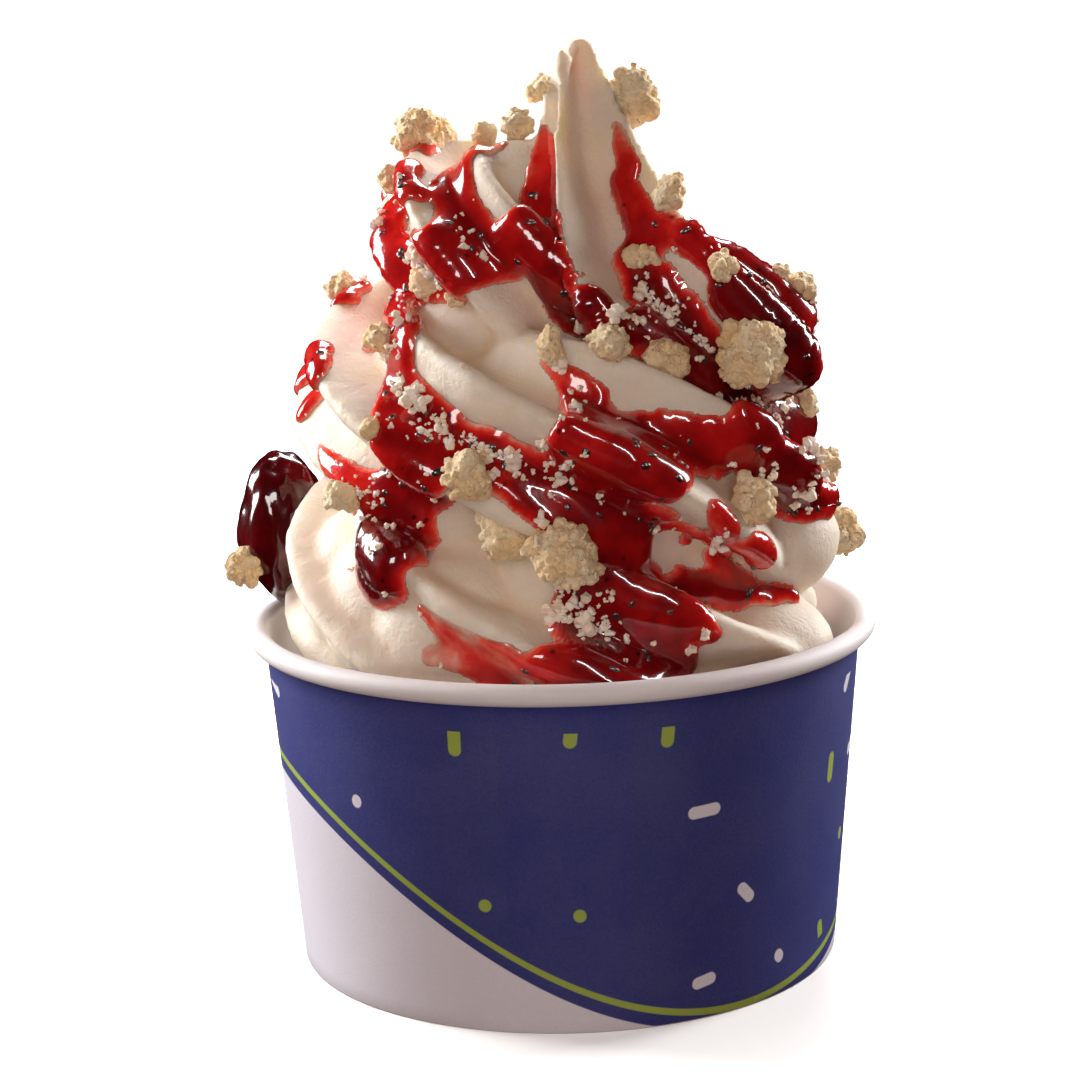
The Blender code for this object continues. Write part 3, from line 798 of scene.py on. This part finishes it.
# %% Lift the sauce off the yogurt
bead = 0.7 + 0.75 * thickness
share = np.clip(inside / bead, 0, 1)
profile = np.sqrt(1 - (1 - share) ** 2)
fill = np.clip(hollow, 0, 2.5) * 0.85 * profile
depth_here = np.where(inside > 0, thickness * profile, 0) + fill
lift = np.where(inside > 0, depth_here, np.maximum(1.1 * inside, -0.8))
sauce_points = skin_points + skin_normals * lift[:, None]
under_points = skin_points - skin_normals * np.where(inside > 0, 0.5, 1.0)[:, None]
DIVE = -0.75

bm = bmesh.new()
bm.from_mesh(swirl.data)
number = bm.verts.layers.int.new("number")
for vert in bm.verts:
    vert[number] = vert.index
bmesh.ops.delete(bm, geom=[vert for vert in bm.verts if inside[vert.index] < DIVE], context="VERTS")
bmesh.ops.delete(bm, geom=[vert for vert in bm.verts if not vert.link_faces], context="VERTS")
for vert in bm.verts:
    vert.co = under_points[vert[number]] * MM
below = set(bm.verts)
bmesh.ops.extrude_face_region(bm, geom=bm.faces[:], use_keep_orig=True)
top = [vert for vert in bm.verts if vert not in below]
for vert in top:
    vert.co = sauce_points[vert[number]] * MM
bmesh.ops.recalc_face_normals(bm, faces=bm.faces)
kept = np.array([vert[number] for vert in bm.verts])
is_top = np.array([vert not in below for vert in bm.verts])
bm.verts.layers.int.remove(number)
sauce = new_object("berry_sauce", bm)
keep_value(sauce.data, "depth", depth_here[kept])
print("open edges:", len([1 for edge in sauce.data.edges if edge.is_loose]))

# %% Let the top of the sauce flow smooth
loose = sauce.vertex_groups.new(name="free")
ease_weight = np.where(is_top, np.clip(inside[kept] / 1.2, 0.12, 1), 0)
for weight in np.unique(np.round(ease_weight, 1)):
    members = np.flatnonzero(np.round(ease_weight, 1) == weight)
    loose.add(members.tolist(), float(weight), "REPLACE")
ease = sauce.modifiers.new("ease", "SMOOTH")
ease.factor, ease.iterations, ease.vertex_group = 0.5, 7, "free"
settle(sauce)
sauce_tree = BVHTree.FromObject(sauce, bpy.context.evaluated_depsgraph_get())
print("sauce:", triangles(sauce), "triangles")

# %% Thick lump of sauce on the left
def blob(bm, middle, half, seed, level=5, rough=0.08):
    """A ball stretched to half sizes and made uneven."""
    for vert in bmesh.ops.create_icosphere(bm, subdivisions=level, radius=1)["verts"]:
        broad, fine = vert.co * 1.7 + Vector((seed, 0, 0)), vert.co * 3.9 + Vector((0, seed, 0))
        uneven = noise.noise(broad) + 0.5 * noise.noise(fine)
        size = Vector([a * b for a, b in zip(vert.co * (1 + rough * uneven), half)])
        vert.co = (Vector(middle) + size) * MM


LUMP_MIDDLE = (-41.2, 9.5, 61.8)
bm = bmesh.new()
blob(bm, LUMP_MIDDLE, (6.9, 9.0, 11.8), 40)
for vert in bm.verts:
    slim = 1 - 0.30 * max(0.0, (60 - vert.co.z / MM) / 10)
    vert.co.x = (LUMP_MIDDLE[0] + (vert.co.x / MM - LUMP_MIDDLE[0]) * slim) * MM
lump = new_object("lump_of_sauce", bm)
keep_value(lump.data, "depth", [3.0] * len(lump.data.vertices))
print("lump:", triangles(lump), "triangles")

# %% [markdown]
# Sauce is clear red jelly with yogurt under it. A thin film lets the yogurt through and looks salmon, a deep
# pool swallows all but the darkest red. True glass would show this by itself, but costs a lot of light paths,
# so the depth that was kept on the mesh picks the colour from a ramp. At its very edge the film fades out.
# Over the colour lies a clear coat, almost a mirror, because wet sauce has no roughness at all.

# %% Finish of the sauce
berry, shader, place = new_finish("berry_sauce", Coat_Weight=1.0, Coat_Roughness=0.02, Coat_IOR=1.5,
                                  Specular_IOR_Level=0.12)
deep = place.node("ShaderNodeAttribute", output="Fac", attribute_name="depth")
cloud = place.texture(230.0, 2.0)
pulp = place.texture(620.0, 2.0, Distortion=1.5)
at = (deep + (cloud - 0.5) * 1.5 + (pulp - 0.5) * 0.35 + 0.1) / 4
color = place.node("ShaderNodeValToRGB", {"Fac": at}, stops=[
    (0.0, (0.88, 0.58, 0.48)), (0.08, (0.86, 0.30, 0.22)), (0.15, (0.84, 0.10, 0.065)),
    (0.24, (0.76, 0.022, 0.016)), (0.36, (0.52, 0.008, 0.009)), (0.52, (0.25, 0.003, 0.005)),
    (0.75, (0.08, 0.001, 0.003)), (1.0, (0.03, 0.001, 0.002))])
speck_cells = place.node("ShaderNodeTexVoronoi", {"Vector": place, "Scale": 420.0}, output="Distance")
chance = place.texture(150.0, 1.0)
speck = (1 - speck_cells.step(0.10, 0.22)) * chance.step(0.50, 0.58) * deep.step(0.5, 0.9)
feed(shader, "Base Color", (speck * 0.8).blend(color, (0.020, 0.002, 0.002)))
feed(shader, "Roughness", 0.16 + cloud * 0.10)
feed(shader, "Alpha", deep.step(-0.02, 0.42))
bump(shader, pulp, 0.00004)
sauce.data.materials.append(berry)
lump.data.materials.append(berry)

# %% [markdown]
# Berries leave small seeds in the sauce. They are too many to place by hand, so points of the sauce's top are
# drawn by lot, and each gets a small flattened ball that is half sunk in the sauce.

# %% Many balls at once
dice = np.random.default_rng(11)


def balls(level, middles, sizes, turns=None, jitter=0.0):
    """A mesh of many balls: one icosphere, copied by an Array modifier, each copy then put in its place."""
    bm = bmesh.new()
    bmesh.ops.create_icosphere(bm, subdivisions=level, radius=1)
    made = new_object("balls", bm)
    copies = made.modifiers.new("copies", "ARRAY")
    copies.count, copies.use_relative_offset = len(middles), False
    settle(made)
    points = (positions(made.data) * MM).reshape(len(middles), -1, 3)
    points += jitter * dice.uniform(-1, 1, points.shape)
    points = points * np.asarray(sizes, float).reshape(len(middles), 1, -1)
    if turns is not None:
        points = np.einsum("nij,nkj->nki", turns, points)
    points += np.asarray(middles)[:, None, :]
    made.data.vertices.foreach_set("co", (points * MM).ravel())
    mesh = made.data
    bpy.data.objects.remove(made, do_unlink=True)
    return mesh


def scattered(weights, count):
    """Numbers of skin points drawn by lot, in proportion to their weights."""
    return dice.choice(len(weights), count, replace=False, p=weights / weights.sum())


def joined(meshes):
    bm = bmesh.new()
    for mesh in meshes:
        bm.from_mesh(mesh)
        bpy.data.meshes.remove(mesh)
    return bm


# %% Seeds
SEEDS = 230
spots, turns = [], []
for spot in scattered(np.where((inside > 1.2) & (depth_here > 0.9), 1.0, 0.0), SEEDS):
    middle, facing, _, _ = sauce_tree.find_nearest(Vector(sauce_points[spot]) * MM)
    spots.append((middle - facing * 0.16 * MM) / MM)
    spun_round = Matrix.Rotation(dice.uniform(0, 6.28), 3, "Z")
    turns.append(np.array(facing.to_track_quat("Z", "Y").to_matrix() @ spun_round))
sizes = np.column_stack([dice.uniform(0.6, 0.95, SEEDS), dice.uniform(0.42, 0.6, SEEDS), np.full(SEEDS, 0.36)])
seeds = new_object("berry_seeds", joined([balls(2, spots, sizes, np.array(turns))]))
print("seeds:", triangles(seeds), "triangles")

# %% Finish of the seeds
seed_shell, shader, place = new_finish("seed_shell", Coat_Weight=1.0, Coat_Roughness=0.05)
cloud = place.texture(300.0, 2.0)
feed(shader, "Base Color", cloud.step(0.35, 0.65).blend((0.012, 0.003, 0.003), (0.11, 0.012, 0.008)))
feed(shader, "Roughness", 0.30 + cloud * 0.2)
seeds.data.materials.append(seed_shell)

# %% [markdown]
# ## Crumble
# Crumble is butter, flour and sugar rubbed into loose lumps, so each piece is a cluster of grains about a
# millimetre across. A crumb here is an uneven ball with smaller balls all over it, run through a fine voxel
# remesh that melts them together, as the butter does. A noise then roughens the skin. The six largest pieces
# stand for their solids. Fine crumbs are a few sharp little grains each, with no remesh.

# %% One crumb
LUMPS = 8


def uneven_ball(units, half, seed, share):
    """Points of a unit ball stretched to half sizes, with broad random swellings."""
    shift = Vector((seed * 3.1, 0, 0))
    swell = np.array([noise.noise(Vector(u) * 1.3 + shift) + 0.5 * noise.noise(Vector(u) * 3.0 - shift)
                      for u in units])
    return units * np.asarray(half) * np.asarray(share * (1 + 0.34 * swell))[:, None]


def unit_rows(rng, count):
    rows = rng.standard_normal((count, 3))
    return rows / np.linalg.norm(rows, axis=1)[:, None]


def crumb(middle, facing, half, seed, grain=0.44):
    """The meshes of a core, of the lumps on it and of the grains over both. Sizes are in millimetres."""
    rng = np.random.default_rng(seed)
    level = Vector((facing.x, facing.y, 0)).normalized()
    turn = np.array(Vector((0, -1, 0)).rotation_difference(level).to_matrix())
    mean = sum(half) / 3

    def placed_on(units, share):
        return np.array(middle) + uneven_ball(units, half, seed, share) @ turn.T

    core = balls(4, [(0, 0, 0)], [(1, 1, 1)])
    units = positions(core)
    placed = placed_on(units / np.linalg.norm(units, axis=1)[:, None], 0.78)
    core.vertices.foreach_set("co", (placed * MM).ravel())
    wide = rng.uniform(0.28, 0.52, LUMPS) * mean
    lump_spots = placed_on(unit_rows(rng, LUMPS), rng.uniform(0.50, 0.68, LUMPS))
    count = int(7 * mean**2 + 12)
    spots = placed_on(unit_rows(rng, count), rng.uniform(0.78, 0.88, count))
    on_lump = rng.integers(0, LUMPS, count)
    spots = np.vstack([spots, lump_spots[on_lump] + unit_rows(rng, count) * wide[on_lump, None]])
    grains = grain * np.exp(0.45 * rng.standard_normal((2 * count, 1))) * min(1, 0.45 + mean / 6)
    return [core, balls(3, lump_spots, np.repeat(wide[:, None], 3, 1)), balls(2, spots, grains)]


def baked_crumb(name, meshes, voxel, rough):
    """One rough skin round all the balls."""
    made = new_object(name, joined(meshes))
    skin = made.modifiers.new("skin", "REMESH")
    skin.mode, skin.voxel_size = "VOXEL", voxel * MM
    soft = made.modifiers.new("soft", "SMOOTH")
    soft.factor, soft.iterations = 0.5, 1
    settle(made)
    points, facing = positions(made.data), normals(made.data)
    push = rough * (noise_at(points, 0.9, 5) + 1.2 * noise_at(points, 0.42, 8))
    made.data.vertices.foreach_set("co", ((points + facing * push[:, None]) * MM).ravel())
    made.data.polygons.foreach_set("use_smooth", [True] * len(made.data.polygons))
    return made


# %% The six large crumbs
LARGE_VOXEL, MEDIUM_VOXEL, ROUGH = 0.19, 0.24, 0.15
CRUMBS = {
    "crumb_front": (-90, 68, (4.9, 4.4, 4.6)),
    "crumb_front_left": (-103, 70, (4.2, 4.0, 4.9)),
    "crumb_right": (-40, 92.3, (4.9, 4.4, 4.8)),
    "crumb_peak": (-10, 124, (3.2, 3.2, 5.2)),
    "crumb_shoulder": (170, 118.3, (4.4, 3.8, 3.9)),
    "crumb_rim": (-4, 63, (3.2, 3.0, 4.2)),
}
large_crumbs = {}
for count, (name, (azimuth, height, half)) in enumerate(CRUMBS.items()):
    point, normal = on_skin(azimuth, height)
    meshes = crumb(point / MM + normal * half[1] * 0.75, normal, half, count)
    large_crumbs[name] = baked_crumb(name + "_grains", meshes, LARGE_VOXEL, ROUGH)
print("large crumbs:", sum(triangles(piece) for piece in large_crumbs.values()), "triangles")

# %% Medium crumbs: (azimuth, height, half size), and those on top: (x, y, half size)
MEDIUM = [(-60, 90.5, 3.0), (-109, 76, 3.0), (-145, 99, 2.7), (168, 97, 2.5), (-176, 114, 2.3),
    (-44, 111, 2.6), (176, 104, 2.5), (-140, 93.5, 2.3), (-147, 72, 2.8), (-90, 92, 2.0), (-76, 92.3, 2.5),
    (-53, 103.5, 1.9), (-46, 102, 2.2), (-24, 102.5, 1.7), (-26, 99.5, 1.7), (-23, 97, 2.3),
    (-31, 96.5, 2.4), (-16, 96, 2.2), (-8, 93, 2.4), (-48, 70, 3.1), (-4, 80, 2.2), (118, 126, 2.2),
    (-130, 82, 1.7), (-14, 71, 2.3), (96, 96, 2.8), (60, 92, 2.2), (130, 84, 2.6), (74, 74, 3.0),
    (34, 88, 2.4), (108, 66, 2.5), (150, 90, 2.2), (20, 70, 2.4), (-62, 81, 1.0), (-128, 98, 1.6)]
ON_TOP = [(-4.5, -3, 2.6), (-8.8, -2, 2.1), (-12, 8, 2.4), (4, 10, 2.5)]


def from_above(x, y):
    return tree.ray_cast(Vector((x * MM, y * MM, 0.2)), Vector((0, 0, -1)))[:2]


spots = [(*on_skin(azimuth, height), size) for azimuth, height, size in MEDIUM]
spots += [(*from_above(x, y), size) for x, y, size in ON_TOP]
spots.append((Vector((-44.6, 2.5, 57.6)) * MM, Vector((-1, 0, 0)), 2.9))
meshes = []
for count, (point, normal, size) in enumerate(spots):
    half = size * dice.uniform(0.72, 1.22, 3)
    meshes += crumb(point / MM + normal * (size * 0.75), normal, half, 20 + count)
medium_crumbs = baked_crumb("medium_crumbs", meshes, MEDIUM_VOXEL, ROUGH)
print("medium crumbs:", triangles(medium_crumbs), "triangles")

# %% Fine crumbs, most of them in flurries: (azimuth, height, spread)
FLURRIES = [(-150, 106, 4), (-140, 102, 5), (-135, 92, 4), (-125, 86, 6), (-112, 80, 6), (-145, 74, 4),
    (-140, 70, 4), (-95, 80, 7), (-88, 62, 5), (-84, 57, 5), (-92, 57, 4), (-70, 96, 4), (-55, 96, 5),
    (-46, 92, 5), (-36, 86, 5), (-25, 99, 5), (-18, 93, 5), (-38, 80, 4), (-28, 74, 4), (-86, 90, 3),
    (-15, 84, 5), (100, 92, 6), (70, 86, 6), (40, 84, 6), (150, 104, 5), (86, 70, 6), (120, 82, 5),
    (20, 78, 5), (84, 56, 5)]
near_flurry = np.zeros(len(skin_points))
for azimuth, height, spread in FLURRIES:
    gap = np.linalg.norm(skin_points - np.array(on_skin(azimuth, height)[0] / MM), axis=1)
    near_flurry += np.exp(-(gap / spread) ** 2)
weights = (near_flurry ** 1.5 + 0.03) * np.where(inside > 0.2, 1.0, 0.05) * (skin_points[:, 2] > 46)
FINE, GRAINS = 820, 4
spots = scattered(weights, FINE)
sizes = np.minimum(0.23 * np.exp(0.66 * dice.standard_normal(FINE)) + 0.08, 1.0)
middles = skin_points[spots] + skin_normals[spots] * (np.maximum(lift[spots], 0) + sizes * 0.35)[:, None]
each_size = np.repeat(sizes, GRAINS)[:, None]
middles = np.repeat(middles, GRAINS, 0) + dice.standard_normal((FINE * GRAINS, 3)) * each_size * 0.6
stretch = dice.uniform(0.6, 1.15, (FINE * GRAINS, 3)) * each_size
fine_crumbs = new_object("fine_crumbs", joined([balls(1, middles, stretch, jitter=0.22)]), smooth=False)
print("fine crumbs:", triangles(fine_crumbs), "triangles")

# %% Finish of the crumble
crumble, shader, place = new_finish("crumble", Specular_IOR_Level=0.4)
cloud = place.texture(170.0, 2.0)
grain = place.texture(2300.0, 3.0, Roughness=0.7)
sugar_cells = place.node("ShaderNodeTexVoronoi", {"Vector": place, "Scale": 1500.0}, output="Distance")
sugar = 1 - sugar_cells.step(0.16, 0.30)
toasted = (cloud * 0.75 + grain * 0.25).step(0.30, 0.68).blend((0.97, 0.68, 0.34), (1.0, 0.87, 0.60))
feed(shader, "Base Color", (sugar * 0.55).blend(toasted, (1.0, 0.95, 0.84)))
feed(shader, "Roughness", 0.78 + grain * 0.15 - sugar * 0.45)
bump(shader, grain * 0.9 + sugar * 0.5, 0.00045)
for piece in [*large_crumbs.values(), medium_crumbs]:
    piece.data.materials.append(crumble)

# %% Finish of the fine crumbs
fine_crumble, shader, place = new_finish("fine_crumble", Roughness=0.6)
cloud = place.texture(500.0, 2.0)
feed(shader, "Base Color", cloud.step(0.35, 0.65).blend((0.92, 0.78, 0.62), (0.97, 0.92, 0.84)))
fine_crumbs.data.materials.append(fine_crumble)

# %% [markdown]
# ## Tie the pieces to the frame
# Each new piece stands for its solid, which is hidden, and rides on the one body. A table names the material
# slot of each piece.

# %% Ride and replace
SLOTS = {tub_wall: "printed_paper", tub_base: "white_paper", swirl: "frozen_yogurt", sauce: "berry_sauce",
         lump: "berry_sauce", seeds: "berry_sauce", medium_crumbs: "crumble", fine_crumbs: "crumble"}
STANDS_FOR = {tub_wall: "cup_wall", tub_base: "cup_base", swirl: "frozen_yogurt", lump: "sauce_lump"}
for name, piece in large_crumbs.items():
    SLOTS[piece], STANDS_FOR[piece] = "crumble", name
for piece, slot in SLOTS.items():
    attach(piece, "root")
for piece, node in STANDS_FOR.items():
    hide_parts(node)

# %% Count of pieces
print("pieces:", len(SLOTS))
